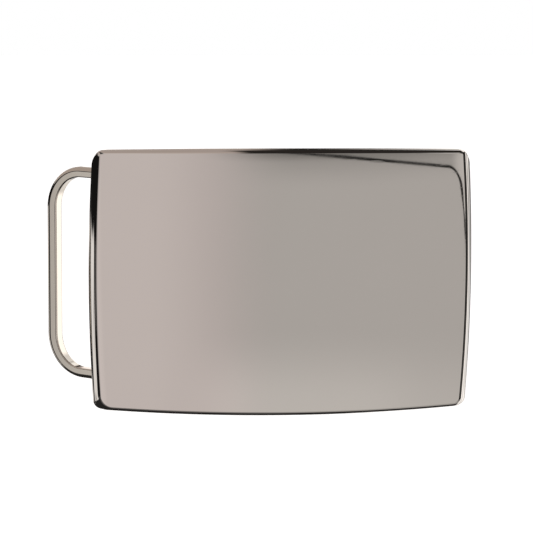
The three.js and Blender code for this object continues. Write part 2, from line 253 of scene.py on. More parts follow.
def rounded_rectangle(half_length, half_height, top_corner, bottom_corner, bottom_left=None):
    """Rounded rectangle in x and z, anticlockwise from the middle of the top right corner."""
    bottom_left = bottom_left or bottom_corner
    corners = ((1, 1, top_corner), (-1, 1, top_corner), (-1, -1, bottom_left), (1, -1, bottom_corner))
    arcs = []
    for quarter, (side_x, side_z, radius) in enumerate(corners):
        arc = []
        for i in range(CORNER_STEPS + 1):
            angle = (quarter + i / CORNER_STEPS) * math.pi / 2
            arc.append((
                side_x * (half_length - radius) + radius * math.cos(angle),
                side_z * (half_height - radius) + radius * math.sin(angle),
            ))
        arcs.append(arc)
    half = CORNER_STEPS // 2
    outline = []
    for quarter in range(4):
        steps = (LONG_STEPS, END_STEPS)[quarter % 2]
        arc, following = arcs[quarter], arcs[(quarter + 1) % 4]
        outline += arc[half:]
        (from_x, from_z), (to_x, to_z) = arc[-1], following[0]
        for i in range(1, steps):
            outline.append((from_x + (to_x - from_x) * i / steps, from_z + (to_z - from_z) * i / steps))
        outline += following[:half]
    return outline


def plate_point(flat, height):
    """Point of the plate: a flat (x, z) with the sides' bow, laid on the waist's curve at height(x, z)."""
    x = flat[0] * (1 - END_BOW / RIM_HALF_LENGTH * (flat[1] / RIM_HALF_HEIGHT) ** 2)
    z = flat[1] * (1 - LONG_BOW / RIM_HALF_HEIGHT * (flat[0] / RIM_HALF_LENGTH) ** 2)
    return Vector((x, waist(x) + height(x, z), z))


def grid_inside(outline, height, points):
    """Fills the outline, which is already the end of points, with a grid and returns its faces."""
    base = len(points) - len(outline)
    across, down = LONG_STEPS + CORNER_STEPS, END_STEPS + CORNER_STEPS
    index = {}
    for i in range(across + 1):
        index[i, 0] = base + i
        index[i, down] = base + across + down + (across - i)
    for j in range(down + 1):
        index[across, j] = base + across + j
        index[0, j] = base + (2 * across + 2 * down - j) % len(outline)
    top = [outline[i] for i in range(across + 1)]
    bottom = [outline[across + down + across - i] for i in range(across + 1)]
    left = [outline[across + j] for j in range(down + 1)]
    right = [outline[(2 * across + 2 * down - j) % len(outline)] for j in range(down + 1)]
    for i in range(1, across):
        for j in range(1, down):
            u, v = i / across, j / down
            x = top[i][0] * (1 - v) + bottom[i][0] * v
            z = right[j][1] * (1 - u) + left[j][1] * u
            index[i, j] = len(points)
            points.append(plate_point((x, z), height))
    return [
        (index[i, j], index[i + 1, j], index[i + 1, j + 1], index[i, j + 1])
        for i in range(across)
        for j in range(down)
    ]


def plate_solid(name, rings, first, last):
    """Closed plate through rings from front to rear; first and last give the ends' outline and height."""
    points = []
    count = len(rings[0])
    for ring in rings:
        points += ring
    faces = ring_faces(count, len(rings))
    for (outline, height), ring, at in ((first, rings[0], 0), (last, rings[-1], len(rings) - 1)):
        start = len(points)
        points += ring
        filled = grid_inside(outline, height, points)
        relabel = {start + i: at * count + i for i in range(count)}
        faces += [tuple(relabel.get(k, k) for k in face) for face in filled]
    return raw_object(name, points, faces)


def bezier_rings(starts, corners, ends, steps=7):
    rings = []
    for k in range(steps + 1):
        t = k / steps
        rings.append([
            a * (1 - t) ** 2 + c * 2 * t * (1 - t) + b * t ** 2 for a, c, b in zip(starts, corners, ends)
        ])
    return rings


def between(ring_a, ring_b, distance):
    """Ring at a distance from ring_a toward ring_b."""
    return [a + (b - a).normalized() * distance for a, b in zip(ring_a, ring_b)]


def swollen(starts, ends, height, steps=14):
    """Rings between two others, swelling outward in the middle as a pressed wall does."""
    count = len(starts)
    rings = []
    for k in range(1, steps):
        lift = height * math.sin(math.pi * min(k / steps / SWELL_END, 1)) ** 2
        ring = []
        for i, (a, b) in enumerate(zip(starts, ends)):
            outward = (starts[(i + 1) % count] - starts[i - 1]).cross(b - a).normalized()
            if outward.x * a.x + outward.z * a.z < 0:
                outward.negate()
            ring.append(a.lerp(b, k / steps) + outward * lift)
        rings.append(ring)
    return rings


def face_height(x, z):
    return RIM_Y - SHELL_DEPTH + FACE_CROWN * (z / FACE_HALF_HEIGHT) ** 2


def face_outline(inset):
    return rounded_rectangle(
        FACE_HALF_LENGTH + FACE_EDGE_OUT - inset, FACE_HALF_HEIGHT - inset,
        max(FACE_CORNER_TOP - inset, FACE_CORNER_LEAST), FACE_CORNER_BOTTOM - inset,
        FACE_CORNER_LOOP_END - inset,
    )


def rim_outline(inset):
    return rounded_rectangle(
        RIM_HALF_LENGTH - inset, RIM_HALF_HEIGHT - inset, RIM_CORNER_TOP - inset, RIM_CORNER_BOTTOM - inset)


def face_shell():
    """Hollow polished shell: crowned face, rounded edge, swollen walls, bevelled rim, hollow behind."""
    thick = SHELL_THICKNESS

    def lay(outline, height):
        return [plate_point(p, height) for p in outline]

    def inner_height(x, z):
        return face_height(x, z) + thick

    def rim_height(x, z):
        return RIM_Y

    edge = lay(face_outline(0), lambda x, z: face_height(x, z) + FACE_EDGE_DROP)
    rim = lay(rim_outline(0), rim_height)
    corner = [e + (e - r) * (FACE_EDGE_DROP / max(r.y - e.y, 0.1)) for e, r in zip(edge, rim)]
    flat_inside = face_outline(FACE_FILLET + SUPPORT)
    wall_start = between(corner, rim, FACE_FILLET + SUPPORT)
    wall_end = between(rim, corner, RIM_BEVEL + SUPPORT)
    rings = [
        lay(flat_inside, face_height),
        *bezier_rings(
            lay(face_outline(FACE_FILLET), face_height), corner, between(corner, rim, FACE_FILLET), 9),
        wall_start,
        *swollen(wall_start, wall_end, WALL_SWELL),
        wall_end,
        *bezier_rings(
            between(rim, corner, RIM_BEVEL), rim, lay(rim_outline(RIM_BEVEL), rim_height), 6),
        lay(rim_outline(RIM_BEVEL + 0.04), rim_height),
        lay(rim_outline(thick - 0.04), rim_height),
        lay(rim_outline(thick), rim_height),
        lay(rim_outline(thick), lambda x, z: RIM_Y - 0.05),
        lay(face_outline(thick), inner_height),
    ]
    hollow = face_outline(thick)
    return plate_solid("polished_face", rings, (flat_inside, face_height), (hollow, inner_height))


def back_plate():
    """Sheet that closes the shell, with holes for the rivets and the peg."""
    def ring(inset, height):
        return [plate_point(p, lambda x, z: height) for p in rim_outline(BACK_INSET + inset)]

    front = -BACK_THICKNESS
    half_bevel = BACK_FRONT_BEVEL / 2
    rings = [
        ring(BACK_FRONT_BEVEL, front),
        ring(half_bevel, front),
        ring(0, front + half_bevel),
        ring(0, -BACK_BEVEL - SUPPORT),
        *bezier_rings(ring(0, -BACK_BEVEL), ring(0, 0), ring(BACK_BEVEL, 0), 6),
        ring(BACK_BEVEL + SUPPORT, 0),
    ]
    made = plate_solid(
        "rear_plate", rings,
        (rim_outline(BACK_INSET + BACK_FRONT_BEVEL), lambda x, z: front),
        (rim_outline(BACK_INSET + BACK_BEVEL + SUPPORT), lambda x, z: 0))
    holes = []
    for side in (1, -1):
        stand = back_frame(LUG_X, side * ARM_HEIGHT)
        for offset in LUG_RIVET_OFFSETS:
            holes.append((stand @ Matrix.Translation((offset, 0, 0)), RIVET_HOLE_RADIUS))
        holes.append((back_frame(HOOK_X, side * HOOK_RIVET_HEIGHT), RIVET_HOLE_RADIUS))
    holes.append((back_frame(HOOK_X, 0), PEG_HOLE_RADIUS))
    for matrix, radius in holes:
        combine(made, bar(radius, BACK_DRILL_LENGTH, matrix), "DIFFERENCE")
    return made


def bar(radius, length, matrix):
    """Round bar along local Y, used to drill."""
    profile = [(0, -length / 2), (radius, -length / 2), (radius, length / 2), (0, length / 2)]
    points, faces = turned(profile)
    return raw_object("drill", points, faces, matrix)


def settle(made):
    """Applies the object's modifiers to its mesh."""
    graph = bpy.context.evaluated_depsgraph_get()
    mesh = bpy.data.meshes.new_from_object(made.evaluated_get(graph))
    made.modifiers.clear()
    old = made.data
    made.data = mesh
    bpy.data.meshes.remove(old)


def combine(made, other, operation):
    step = made.modifiers.new("combine", "BOOLEAN")
    step.operation = operation
    step.solver = "EXACT"
    step.object = other
    settle(made)
    bpy.data.objects.remove(other)


def round_edges(made, width):
    """Rounds the sharp edges and keeps the flats between them flat in shading."""
    step = made.modifiers.new("edges", "BEVEL")
    step.width = width * MM
    step.segments = 3
    step.limit_method = "ANGLE"
    step.angle_limit = math.radians(28)
    step.harden_normals = False
    step.use_clamp_overlap = True
    settle(made)
    made.data.shade_smooth()
    step = made.modifiers.new("normals", "WEIGHTED_NORMAL")
    step.keep_sharp = False
    step.weight = 80
    settle(made)


def prism(name, outline, low, high, matrix, along="Y"):
    """Prism over an outline. low and high give the two ends' heights at each point of the outline."""
    def place(a, b, height):
        return (a, height, b) if along == "Y" else (a, b, height)

    points = [place(a, b, low(a, b)) for a, b in outline] + [place(a, b, high(a, b)) for a, b in outline]
    count = len(outline)
    faces = ring_faces(count, 2)
    faces += [tuple(range(count)), tuple(range(2 * count - 1, count - 1, -1))]
    return raw_object(name, points, faces, matrix)


def arc(centre_a, centre_b, radius, start, end, steps):
    return [
        (
            centre_a + radius * math.cos(start + (end - start) * i / steps),
            centre_b + radius * math.sin(start + (end - start) * i / steps),
        )
        for i in range(steps + 1)
    ]


def lug(name, side):
    """Clevis: base and tongue on the back plate, two cheeks for the pin, and holes for pin and rivets."""
    matrix = back_frame(LUG_X, side * ARM_HEIGHT, SEAM)
    half = LUG_HALF_WIDTH
    shoulder = CHEEK_HALF_BASE + CHEEK_SHOULDER
    tongue = arc(TONGUE_END - TONGUE_HALF_WIDTH, 0, TONGUE_HALF_WIDTH, -math.pi / 2, math.pi / 2, 24)
    outline = [(-CHEEK_HALF_BASE, -half), (CHEEK_HALF_BASE, -half), (shoulder, -TONGUE_HALF_WIDTH)]
    outline += tongue + [(shoulder, TONGUE_HALF_WIDTH), (CHEEK_HALF_BASE, half), (-CHEEK_HALF_BASE, half)]
    made = prism(name, outline, lambda x, z: waist(x), lambda x, z: FITTING_THICKNESS, matrix)
    lean = math.asin(EYE_RADIUS / math.hypot(CHEEK_HALF_BASE, PIVOT_LIFT))
    slope = math.atan2(PIVOT_LIFT, CHEEK_HALF_BASE) - lean
    cheek = [(-CHEEK_HALF_BASE, FITTING_THICKNESS / 2), (CHEEK_HALF_BASE, FITTING_THICKNESS / 2)]
    cheek += arc(0, PIVOT_LIFT, EYE_RADIUS, math.pi / 2 - lean - slope, math.pi / 2 + lean + slope, 36)
    for low in (CLEVIS_GAP / 2, -half):
        ear = prism(
            "ear", cheek, lambda x, y, at=low: at, lambda x, y, at=low: at + CHEEK_THICKNESS, matrix, "Z")
        combine(made, ear, "UNION")
    across = matrix @ Matrix.Translation((0, PIVOT_LIFT, 0)) @ Matrix.Rotation(math.pi / 2, 4, "X")
    combine(made, bar(PIN_HOLE_RADIUS, 4 * half, across), "DIFFERENCE")
    for offset in LUG_RIVET_OFFSETS:
        hole = bar(RIVET_HOLE_RADIUS, DRILL_LENGTH, matrix @ Matrix.Translation((offset, 0, 0)))
        combine(made, hole, "DIFFERENCE")
    round_edges(made, LUG_EDGE)
    return made


def hinge_pin(name, side):
    end = LUG_HALF_WIDTH + SEAM
    tail = -end - PIN_TAIL_HEIGHT
    head = end + PIN_HEAD_HEIGHT
    profile = soften([
        (0, tail, 0), (PIN_TAIL_RADIUS - 0.2, tail + 0.03, 0.2), (PIN_TAIL_RADIUS, tail + 0.23, 0.08),
        (PIN_TAIL_RADIUS, -end, 0.04), (PIN_RADIUS, -end, 0), (PIN_RADIUS, end, 0),
        (PIN_HEAD_RADIUS, end, 0.04), (PIN_HEAD_RADIUS, head - 0.32, 0.12),
        (PIN_HEAD_RADIUS - 0.25, head - 0.1, 0.2), (0, head, 0),
    ])
    points, faces = turned(profile)
    stand = Matrix.Rotation(math.pi / 2 * side, 4, "X")
    return raw_object(name, points, faces, back_frame(LUG_X, side * ARM_HEIGHT, PIVOT_LIFT + SEAM) @ stand)


def rivet(name, matrix):
    top = FITTING_THICKNESS + 2 * SEAM
    bottom = -BACK_THICKNESS - SEAM
    brim = top + RIVET_HEAD_BRIM
    head = [(RIVET_HEAD_RADIUS, top, 0.04), (RIVET_HEAD_RADIUS, brim, 0.05)]
    for i in range(1, DOME_STEPS):
        angle = i / DOME_STEPS * math.pi / 2
        height = brim + (RIVET_HEAD_HEIGHT - RIVET_HEAD_BRIM) * math.sin(angle)
        head.append((RIVET_HEAD_RADIUS * math.cos(angle) ** 0.9, height, 0))
    profile = soften([
        (0, bottom - RIVET_TAIL_HEIGHT, 0), (RIVET_TAIL_RADIUS, bottom - RIVET_TAIL_HEIGHT, 0.2),
        (RIVET_TAIL_RADIUS, bottom, 0.05), (RIVET_RADIUS, bottom, 0), (RIVET_RADIUS, top, 0),
        *head, (0, top + RIVET_HEAD_HEIGHT, 0),
    ])
    points, faces = turned(profile, RIVET_SEGMENTS)
    return raw_object(name, points, faces, matrix)


def hook_base(name):
    matrix = back_frame(HOOK_X, 0, SEAM)
    straight = HOOK_BASE_HALF_HEIGHT - HOOK_BASE_HALF_WIDTH
    outline = arc(0, straight, HOOK_BASE_HALF_WIDTH, 0, math.pi, 28)
    outline += arc(0, -straight, HOOK_BASE_HALF_WIDTH, math.pi, 2 * math.pi, 28)
    made = prism(name, outline, lambda x, z: waist(x), lambda x, z: FITTING_THICKNESS, matrix)
    combine(made, bar(PEG_HOLE_RADIUS, DRILL_LENGTH, matrix), "DIFFERENCE")
    for side in (1, -1):
        place = matrix @ Matrix.Translation((0, 0, side * HOOK_RIVET_HEIGHT))
        combine(made, bar(RIVET_HOLE_RADIUS, DRILL_LENGTH, place), "DIFFERENCE")
    round_edges(made, HOOK_BASE_EDGE)
    return made


def hook_peg(name):
    """Headed peg with a collar on the base plate, bent toward the loop, with a round tip."""
    bottom = -BACK_THICKNESS - SEAM
    collar = FITTING_THICKNESS + 2 * SEAM
    collar_top = collar + PEG_COLLAR_HEIGHT
    shank = soften([
        (0, bottom - PEG_TAIL_HEIGHT, 0), (PEG_COLLAR_RADIUS, bottom - PEG_TAIL_HEIGHT, 0.25),
        (PEG_COLLAR_RADIUS, bottom, 0.04), (PEG_RADIUS, bottom, 0), (PEG_RADIUS, collar, 0),
        (PEG_COLLAR_RADIUS, collar, 0.05), (PEG_COLLAR_RADIUS, collar_top, 0.22),
        (PEG_RADIUS, collar_top, 0.14), (PEG_RADIUS, PEG_STRAIGHT, 0),
    ])
    stations = [(height, 0.0, 0.0, radius) for radius, height in shank[1:]]
    for i in range(1, PEG_BEND_STEPS + 1):
        stations.append((PEG_STRAIGHT, PEG_BEND_ANGLE * i / PEG_BEND_STEPS, 0.0, PEG_RADIUS))
    for i in range(1, PEG_TIP_STEPS):
        turn = i / PEG_TIP_STEPS * math.pi / 2
        past, radius = PEG_RADIUS * math.sin(turn), PEG_RADIUS * math.cos(turn)
        stations.append((PEG_STRAIGHT, PEG_BEND_ANGLE, past, radius))
    rings = []
    for height, angle, past, radius in stations:
        x = -PEG_BEND_RADIUS * (1 - math.cos(angle)) - past * math.sin(angle)
        y = height + PEG_BEND_RADIUS * math.sin(angle) + past * math.cos(angle)
        rings.append([
            (x + across * math.cos(angle), y + across * math.sin(angle), z)
            for across, _, z in circle(radius, 0, ROUND_SEGMENTS)
        ])
    points, faces = loft(rings)
    return raw_object(name, points, faces, back_frame(HOOK_X, 0))


def wire_section():
    """Wire's section as (across, through) points, rounded at its four corners, with support points."""
    points = []
    half_a, half_t = WIRE_WIDTH / 2, WIRE_THICKNESS / 2
    corners = (
        (1, 1, WIRE_ROUND), (-1, 1, WIRE_ROUND),
        (-1, -1, WIRE_FRONT_INNER_ROUND), (1, -1, WIRE_FRONT_OUTER_ROUND),
    )
    for quarter, (side_a, side_t, radius) in enumerate(corners):
        corner = []
        for i in range(11):
            angle = (quarter + i / 10) * math.pi / 2
            corner.append(Vector((
                side_a * (half_a - radius) + radius * math.cos(angle),
                side_t * (half_t - radius) + radius * math.sin(angle))))
        start = quarter * math.pi / 2
        before = Vector((math.sin(start), -math.cos(start)))
        after = Vector((-math.cos(start), -math.sin(start)))
        points += [corner[0] + before * SUPPORT, *corner, corner[-1] + after * SUPPORT]
    return points


def loop_path():
    """Wire's centre line as (reach, height, turn), from the upper eye round to the lower one."""
    arm_end = LOOP_REACH - LOOP_BEND
    bend_height = ARM_HEIGHT - LOOP_BEND
    arm = arm_end - ARM_START
    path = [(ARM_START + arm * i / STRAIGHT_STEPS, ARM_HEIGHT, 0.0) for i in range(STRAIGHT_STEPS)]
    for i in range(BEND_STEPS + 1):
        turn = i / BEND_STEPS * math.pi / 2
        path.append((arm_end + LOOP_BEND * math.sin(turn), bend_height + LOOP_BEND * math.cos(turn), turn))
    for i in range(1, STRAIGHT_STEPS):
        path.append((LOOP_REACH, bend_height - bend_height * i / STRAIGHT_STEPS, math.pi / 2))
    lower = [(reach, -height, math.pi - turn) for reach, height, turn in reversed(path)]
    return [*path, (LOOP_REACH, 0.0, math.pi / 2), *lower]


def swivel_loop(name):
    """Bent flat wire with an eye at each end for the pins."""
    stand = back_frame(LUG_X, 0, PIVOT_LIFT + SEAM)
    matrix = Matrix.Translation(stand.translation) @ Matrix.Rotation(-LOOP_REST_ANGLE, 4, "Z")
    section = wire_section()
    rings = []
    for reach, height, turn in loop_path():
        narrowing = ARM_NARROWING * math.cos(turn) ** 2
        ring = []
        for p in section:
            across = p.x + (WIRE_WIDTH / 2 - p.x) * narrowing
            ring.append((-reach - across * math.sin(turn), p.y, height + across * math.cos(turn)))
        rings.append(ring)
    points, faces = loft(rings)
    made = raw_object(name, points, faces, matrix)
    half = EYE_WIDTH / 2
    profile = soften([
        (PIN_HOLE_RADIUS, 0, 0), (PIN_HOLE_RADIUS, half, 0.15), (EYE_RADIUS, half, 0.3),
        (EYE_RADIUS, -half, 0.3), (PIN_HOLE_RADIUS, -half, 0.15), (PIN_HOLE_RADIUS, 0, 0),
    ])[:-1]
    faces = ring_faces(EYE_SEGMENTS, len(profile), closed=True)
    for side in (1, -1):
        eye = []
        for radius, height in profile:
            eye += [(x, y, side * ARM_HEIGHT + height) for x, _, y in circle(radius, 0, EYE_SEGMENTS)]
        combine(made, raw_object("eye", eye, faces, matrix), "UNION")
    made.data.shade_smooth()
    made.data.set_sharp_from_angle(angle=math.radians(35))
    return made


# ---------------------------------------------------------------- materials

def node(tree, kind, inputs=None, **settings):
    made = tree.nodes.new(kind)
    for key, value in settings.items():
        setattr(made, key, value)
    for key, value in (inputs or {}).items():
        if isinstance(value, bpy.types.NodeSocket):
            tree.links.new(value, made.inputs[key])
        else:
            made.inputs[key].default_value = value
    return made


def calc(tree, operation, *values):
    return node(tree, "ShaderNodeMath", dict(enumerate(values)), operation=operation).outputs[0]


def ramp(tree, value, low, high, to_low=0.0, to_high=1.0):
    """Smooth change from to_low, where value is low, to to_high, where it is high."""
    made = node(tree, "ShaderNodeMapRange", {
        "Value": value, "From Min": low, "From Max": high, "To Min": to_low, "To Max": to_high,
    }, interpolation_type="SMOOTHSTEP")
    return made.outputs["Result"]


def grain(tree, coords, stretch, per_mm, detail=2.0, turn=(0, 0, 0), roughness=0.5):
    """Noise of a fineness in cycles per millimetre; stretch makes it streaky."""
    mapped = node(tree, "ShaderNodeMapping", {"Vector": coords, "Scale": stretch, "Rotation": turn})
    noise = node(tree, "ShaderNodeTexNoise", {
        "Vector": mapped.outputs[0], "Scale": per_mm / MM, "Detail": detail, "Roughness": roughness})
    return noise.outputs["Fac"]


def weighted(tree, a, b, share):
    """Mixture of a and b, with b's share of it."""
    return calc(tree, "ADD", calc(tree, "MULTIPLY", a, 1 - share), calc(tree, "MULTIPLY", b, share))


def tint(tree, factor, dark, light):
    mixed = node(tree, "ShaderNodeMix", {"Factor": factor}, data_type="RGBA")
    mixed.inputs[6].default_value = (*dark, 1)
    mixed.inputs[7].default_value = (*light, 1)
    return mixed.outputs[2]


def metal(name):
    made = bpy.data.materials.new(name)
    made.use_nodes = True
    tree = made.node_tree
    shader = tree.nodes["Principled BSDF"]
    shader.inputs["Metallic"].default_value = 1.0
    coords = node(tree, "ShaderNodeTexCoord").outputs["Object"]
    return made, tree, shader, coords


def bump(tree, height, strength, distance):
    return node(tree, "ShaderNodeBump", {
        "Height": height, "Strength": strength, "Distance": distance * MM}).outputs["Normal"]


def polished(name, dark, light, smoothest, roughest, scratch):
    """Mirror-polished plating: smudges, hairline scratches and a faint unevenness."""
    made, tree, shader, coords = metal(name)
    smudge = grain(tree, coords, (1, 1, 1), 0.09, 3.0)
    hair_a = grain(tree, coords, (0.05, 1, 1.6), 2.2, 1.0, (0, math.radians(24), 0))
    hair_b = grain(tree, coords, (0.06, 1, 1.4), 2.6, 1.0, (0, math.radians(-47), 0))
    hairs = calc(tree, "MAXIMUM", ramp(tree, hair_a, 0.66, 0.74), ramp(tree, hair_b, 0.67, 0.76))
    clean = ramp(tree, smudge, 0.35, 0.72, smoothest, roughest)
    rough = calc(tree, "ADD", clean, calc(tree, "MULTIPLY", hairs, 0.03))
    tree.links.new(rough, shader.inputs["Roughness"])
    tree.links.new(tint(tree, smudge, dark, light), shader.inputs["Base Color"])
    tree.links.new(bump(tree, hairs, scratch, 0.001), shader.inputs["Normal"])
    return made


def brushed(name, dark, light, smoothest, roughest, stretch, depth):
    """Satin metal with long fine brush lines, duller patches and a few deeper strokes."""
    made, tree, shader, coords = metal(name)
    lines = grain(tree, coords, stretch, 7.0, 3.0)
    strokes = grain(tree, coords, stretch, 2.2, 1.0, (0, math.radians(4), 0))
    patch = grain(tree, coords, (1, 1, 1), 0.16, 4.0)
    mixed = weighted(tree, lines, patch, 0.16)
    deep = ramp(tree, strokes, 0.62, 0.7)
    height = calc(tree, "SUBTRACT", lines, calc(tree, "MULTIPLY", deep, 0.5))
    tree.links.new(tint(tree, ramp(tree, mixed, 0.35, 0.68), dark, light), shader.inputs["Base Color"])
    tree.links.new(ramp(tree, mixed, 0.3, 0.7, roughest, smoothest), shader.inputs["Roughness"])
    tree.links.new(bump(tree, height, 0.35, depth), shader.inputs["Normal"])
    return made


def tumbled(name, dark, light, smoothest, roughest, depth):
    """Cast or stamped metal finished by tumbling: fine pitting and soft blotches."""
    made, tree, shader, coords = metal(name)
    pits = grain(tree, coords, (1, 1, 1), 3.5, 4.0, roughness=0.6)
    blotch = grain(tree, coords, (1, 1, 1), 0.5, 3.0)
    mixed = weighted(tree, pits, blotch, 0.55)
    tree.links.new(tint(tree, ramp(tree, mixed, 0.36, 0.64), dark, light), shader.inputs["Base Color"])
    tree.links.new(ramp(tree, mixed, 0.34, 0.66, roughest, smoothest), shader.inputs["Roughness"])
    tree.links.new(bump(tree, pits, 0.3, depth), shader.inputs["Normal"])
    return made


FINISHES = {
    "polished_nickel": (polished, {
        "dark": (0.652, 0.600, 0.551), "light": (0.668, 0.614, 0.565),
        "smoothest": 0.02, "roughest": 0.045, "scratch": 0.03}),
    "loop_nickel": (polished, {
        "dark": (0.64, 0.578, 0.505), "light": (0.675, 0.608, 0.535),
        "smoothest": 0.035, "roughest": 0.07, "scratch": 0.06}),
    "satin_nickel": (brushed, {
        "dark": (0.50, 0.475, 0.44), "light": (0.63, 0.605, 0.565),
        "smoothest": 0.24, "roughest": 0.34, "stretch": (0.02, 1, 1), "depth": 0.006}),
    "fitting_steel": (tumbled, {
        "dark": (0.40, 0.40, 0.39), "light": (0.62, 0.61, 0.59),
        "smoothest": 0.22, "roughest": 0.4, "depth": 0.015}),
    "pin_steel": (tumbled, {
        "dark": (0.45, 0.45, 0.45), "light": (0.66, 0.66, 0.66),
        "smoothest": 0.16, "roughest": 0.3, "depth": 0.008}),
    "rivet_brass": (tumbled, {
        "dark": (0.46, 0.33, 0.15), "light": (0.78, 0.60, 0.31),
        "smoothest": 0.2, "roughest": 0.38, "depth": 0.012}),
}
MATERIALS = {slot: make(slot, **look) for slot, (make, look) in FINISHES.items()}


# ---------------------------------------------------------------- the object

def keep(piece, body, node_name, slot):
    """Gives a piece its material, hangs it on the body it rides on and hides the CAD node it stands for."""
    piece.data.materials.clear()
    piece.data.materials.append(MATERIALS[slot])
    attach(piece, body)
    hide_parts(node_name)


keep(face_shell(), "plate", "face_shell", "polished_nickel")
keep(back_plate(), "plate", "back_plate", "satin_nickel")
rivet_number = 0
for word, side in (("upper", 1), ("lower", -1)):
    keep(lug(f"hinge_lug_{word}", side), "plate", f"lug_{word}", "fitting_steel")
    keep(hinge_pin(f"hinge_pin_{word}", side), "plate", f"pin_{word}", "pin_steel")
    for offset in LUG_RIVET_OFFSETS:
        rivet_number += 1
        place = back_frame(LUG_X, side * ARM_HEIGHT) @ Matrix.Translation((offset, 0, 0))
        keep(rivet(f"rivet_lug_{rivet_number}", place), "plate", f"lug_rivet_{rivet_number}", "rivet_brass")
keep(swivel_loop("strap_loop"), "loop", "swivel_loop", "loop_nickel")
keep(hook_base("hook_plate"), "plate", "hook_base", "fitting_steel")
keep(hook_peg("strap_hook"), "plate", "hook_peg", "loop_nickel")
for index, side in enumerate((1, -1)):
    place = back_frame(HOOK_X, 0) @ Matrix.Translation((0, 0, side * HOOK_RIVET_HEIGHT))
    keep(rivet(f"rivet_hook_{index + 1}", place), "plate", f"hook_rivet_{index + 1}", "rivet_brass")


# ---------------------------------------------------------------- studio

class Studio:
    """World light painted by direction: degrees of azimuth from the front toward +X, and of elevation."""

    def __init__(self, level):
        world = bpy.data.worlds.new("studio")
        bpy.context.scene.world = world
        world.use_nodes = True
        self.tree = world.node_tree
        self.tree.nodes.clear()
        direction = node(self.tree, "ShaderNodeTexCoord").outputs["Generated"]
        self.x, self.y, z = node(self.tree, "ShaderNodeSeparateXYZ", {0: direction}).outputs
        forward = self.calc("MULTIPLY", self.y, -1.0)
        self.azimuth = self.calc("DEGREES", self.calc("ARCTAN2", self.x, forward))
        self.elevation = self.calc("DEGREES", self.calc("ARCSINE", z))
        self.light = node(self.tree, "ShaderNodeValue").outputs[0]
        self.light.default_value = level

    def calc(self, operation, *values):
        return calc(self.tree, operation, *values)

    def rise(self, value, low, high, to_low=0.0, to_high=1.0):
        """Smooth change from to_low, where value is low, to to_high, where it is high."""
        return ramp(self.tree, value, low, high, to_low, to_high)

    def band(self, value, low, high, soft):
        """1 where value is between low and high, with soft edges."""
        fall = self.rise(value, high - soft, high + soft, 1.0, 0.0)
        return self.overlap(self.rise(value, low - soft, low + soft), fall)

    def across(self, low, high, soft):
        return self.band(self.azimuth, low, high, soft)

    def up(self, low, high, soft):
        return self.band(self.elevation, low, high, soft)

    def slanted(self, slope, low, high):
        """1 past a slanting line: azimuth + slope * elevation going from low to high."""
        return self.rise(self.calc("MULTIPLY_ADD", self.elevation, slope, self.azimuth), low, high)

    def overlap(self, first, *others):
        for other in others:
            first = self.calc("MULTIPLY", first, other)
        return first

    def outside(self, mask):
        return self.calc("SUBTRACT", 1.0, mask)

    def paint(self, level, *masks):
        """Covers what is painted so far with a level of light, where all masks are 1."""
        mixed = node(self.tree, "ShaderNodeMix", {0: self.overlap(*masks), 2: self.light, 3: level})
        self.light = mixed.outputs[0]


def light_below(sky):
    """Dark, but for a soft pool in front."""
    sky.paint(0.025, sky.rise(sky.elevation, -24, -30))
    pool = sky.rise(sky.azimuth, -20, 30, 0.22, 0.5)
    sky.paint(pool, sky.up(-46, -30, 6), sky.rise(sky.azimuth, -85, -50), sky.rise(sky.azimuth, 105, 75))


def light_overhead(sky):
    """Grey ceiling with a dark flag from the middle to the right, and a pale strip low at the left."""
    sky.paint(0.52, sky.rise(sky.elevation, 7, 10))
    behind = sky.overlap(
        sky.rise(sky.y, 0.0, 0.15), sky.rise(sky.x, 0.2, 0.26), sky.rise(sky.elevation, 50, 44))
    flag_edge = sky.calc("SUBTRACT", sky.x, sky.rise(sky.y, -0.3, 0.6, 0, 0.11))
    flag = sky.overlap(sky.rise(flag_edge, -0.07, -0.01), sky.rise(sky.elevation, 6.8, 8))
    sky.paint(0.03, flag, sky.outside(behind))
    sky.paint(0.66, sky.up(6, 24, 2), sky.across(-70, -6, 4))


def light_right_and_back(sky):
    """Large pale boxes."""
    box = sky.rise(sky.azimuth, 112, 126, 1.7, 1.0)
    sky.paint(box, sky.up(-46, 44, 3), sky.across(101.2, 148, 0.7))
    sky.paint(1.0, sky.up(-43, -14, 3), sky.rise(sky.azimuth, 140, 146), sky.rise(sky.x, 0.12, 0.16))
    sky.paint(1.3, sky.up(4, 38, 2), sky.across(142, 170, 3))
    sky.paint(1.3, sky.up(4, 13, 1), sky.rise(sky.calc("ABSOLUTE", sky.azimuth), 146, 150))


def light_sides(sky):
    """Dark panels at the level of the object, with the pale strips that its walls and loop mirror."""
    level = sky.up(-27, 9, 1.5)
    # right
    sky.paint(0.01, level, sky.across(38.6, 100.6, 0.5))
    sky.paint(0.12, sky.up(-22, 7, 3), sky.across(66, 90, 6))
    sky.paint(
        0.22, sky.slanted(2.6, 120.5, 124.5), sky.rise(sky.azimuth, 128, 132),
        sky.up(-13, 2, 1), sky.rise(sky.azimuth, 178, 174))
    # left
    sky.paint(0.62, level, sky.across(-44, -27, 2))
    sky.paint(
        0.01, sky.rise(sky.elevation, -36, -22), sky.rise(sky.elevation, 9, 7),
        sky.rise(sky.azimuth, -41, -52), sky.outside(sky.rise(sky.azimuth, -178, -180)))
    sky.paint(
        1.0, sky.up(-29, -6.3, 0.6), sky.slanted(0.8, -119.7, -122.7), sky.rise(sky.azimuth, -152, -149))
    sky.paint(0.03, sky.slanted(1.33, -151.5, -154.5), sky.up(-29, -5, 1), sky.across(-178, -112, 2))
    strip = sky.rise(sky.azimuth, -77.5, -75, 0.56, 0.74)
    sky.paint(strip, sky.up(-14, -5, 0.7), sky.across(-78.7, -73.9, 0.5))


